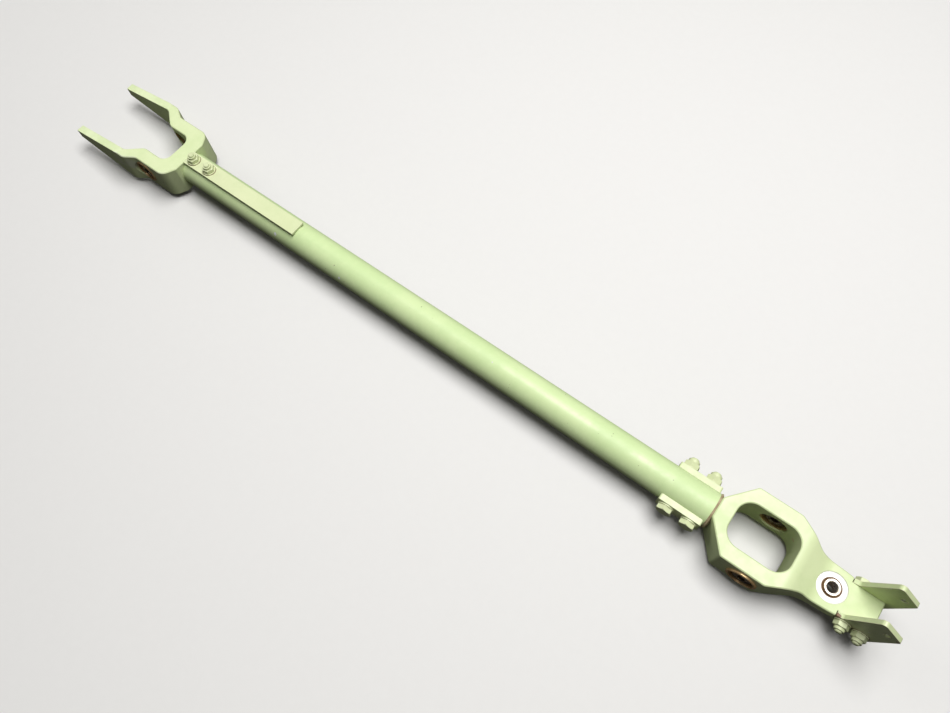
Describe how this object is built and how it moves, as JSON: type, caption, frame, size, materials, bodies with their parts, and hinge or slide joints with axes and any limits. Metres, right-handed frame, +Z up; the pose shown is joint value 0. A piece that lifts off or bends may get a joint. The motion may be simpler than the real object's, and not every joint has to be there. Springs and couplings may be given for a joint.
{
  "type": "cyclic torque tube",
  "caption": "Thin-walled control torque tube with a pronged bearing fork at one end and, at the other, a windowed bearing frame with a spherical bearing and upright ears.",
  "frame": {"origin": "on the tube's axis, midway between the fork's two pivot bearings", "axes": "+X along the tube from the fork towards the frame, +Y along the pivot bearings' axes towards the rear, +Z up, along the spherical bearing's axis and towards the ears' tops"},
  "size_m": [0.8191, 0.073, 0.0652],
  "materials": {
    "tube_paint": "satin zinc-chromate green paint",
    "fork_paint": "satin zinc-chromate green paint",
    "frame_paint": "satin zinc-chromate green paint",
    "strip_paint": "satin zinc-chromate green paint",
    "saddle_paint": "satin zinc-chromate green paint",
    "ear_paint": "satin paint, worn to cream primer at the edges",
    "fastener_paint": "steel under green paint, chipped at corners",
    "washer_paint": "steel under cracked green paint",
    "outer_ring": "gold cadmium plate",
    "inner_ring": "ground steel, lightly soiled",
    "bearing_shield": "dark seal",
    "bearing_balls": "polished steel",
    "swivel_race": "bare machined steel",
    "swivel_liner": "woven dry liner",
    "swivel_ball": "polished steel",
    "sealant": "aged brown sealant"
  },
  "bodies": {
    "tube_assembly": {"ear_bolts": "fastener_paint", "ear_nuts": "fastener_paint", "ear_washers": "washer_paint", "fork_bolts": "fastener_paint", "fork_fitting": "fork_paint", "fork_front_outer_ring": "outer_ring", "fork_front_shields": "bearing_shield", "fork_nuts": "fastener_paint", "fork_rear_outer_ring": "outer_ring", "fork_rear_shields": "bearing_shield", "fork_saddle": "saddle_paint", "fork_washers": "washer_paint", "frame_bolts": "fastener_paint", "frame_fitting": "frame_paint", "frame_front_outer_ring": "outer_ring", "frame_front_shields": "bearing_shield", "frame_nuts": "fastener_paint", "frame_rear_outer_ring": "outer_ring", "frame_rear_shields": "bearing_shield", "frame_washers": "washer_paint", "front_ear": "ear_paint", "front_saddle": "saddle_paint", "rear_ear": "ear_paint", "rear_saddle": "saddle_paint", "sealant_bead": "sealant", "swivel_liner": "swivel_liner", "swivel_race": "swivel_race", "top_strip": "strip_paint", "torque_tube": "tube_paint"},
    "fork_front_inner_ring_body": {"fork_front_inner_ring": "inner_ring"},
    "fork_front_balls_body": {"fork_front_balls": "bearing_balls"},
    "fork_rear_inner_ring_body": {"fork_rear_inner_ring": "inner_ring"},
    "fork_rear_balls_body": {"fork_rear_balls": "bearing_balls"},
    "frame_front_inner_ring_body": {"frame_front_inner_ring": "inner_ring"},
    "frame_front_balls_body": {"frame_front_balls": "bearing_balls"},
    "frame_rear_inner_ring_body": {"frame_rear_inner_ring": "inner_ring"},
    "frame_rear_balls_body": {"frame_rear_balls": "bearing_balls"},
    "swivel_ball_body": {"swivel_ball": "swivel_ball"}
  },
  "joints": [
    {"name": "fork_front_spin", "type": "hinge", "parent": "tube_assembly", "child": "fork_front_inner_ring_body", "pos_m": [0, -0.02425, 0], "axis": [0, 1, 0], "continuous": true},
    {"name": "fork_front_orbit", "type": "hinge", "parent": "tube_assembly", "child": "fork_front_balls_body", "pos_m": [0, -0.02425, 0], "axis": [0, 1, 0], "continuous": true},
    {"name": "fork_rear_spin", "type": "hinge", "parent": "tube_assembly", "child": "fork_rear_inner_ring_body", "pos_m": [0, 0.02425, 0], "axis": [0, 1, 0], "continuous": true},
    {"name": "fork_rear_orbit", "type": "hinge", "parent": "tube_assembly", "child": "fork_rear_balls_body", "pos_m": [0, 0.02425, 0], "axis": [0, 1, 0], "continuous": true},
    {"name": "frame_front_spin", "type": "hinge", "parent": "tube_assembly", "child": "frame_front_inner_ring_body", "pos_m": [0.6317, -0.02565, 0], "axis": [0, 1, 0], "continuous": true},
    {"name": "frame_front_orbit", "type": "hinge", "parent": "tube_assembly", "child": "frame_front_balls_body", "pos_m": [0.6317, -0.02565, 0], "axis": [0, 1, 0], "continuous": true},
    {"name": "frame_rear_spin", "type": "hinge", "parent": "tube_assembly", "child": "frame_rear_inner_ring_body", "pos_m": [0.6317, 0.02565, 0], "axis": [0, 1, 0], "continuous": true},
    {"name": "frame_rear_orbit", "type": "hinge", "parent": "tube_assembly", "child": "frame_rear_balls_body", "pos_m": [0.6317, 0.02565, 0], "axis": [0, 1, 0], "continuous": true},
    {"name": "swivel_tilt", "type": "hinge", "parent": "tube_assembly", "child": "swivel_ball_body", "pos_m": [0.6844, 0, 0], "axis": [0, 1, 0], "range_deg": [-10, 10]}
  ],
  "couplings": [
    {"joint": "fork_front_orbit", "follows": "fork_front_spin", "ratio": 0.3676},
    {"joint": "fork_rear_orbit", "follows": "fork_rear_spin", "ratio": 0.3676},
    {"joint": "frame_front_orbit", "follows": "frame_front_spin", "ratio": 0.3676},
    {"joint": "frame_rear_orbit", "follows": "frame_rear_spin", "ratio": 0.3676}
  ]
}
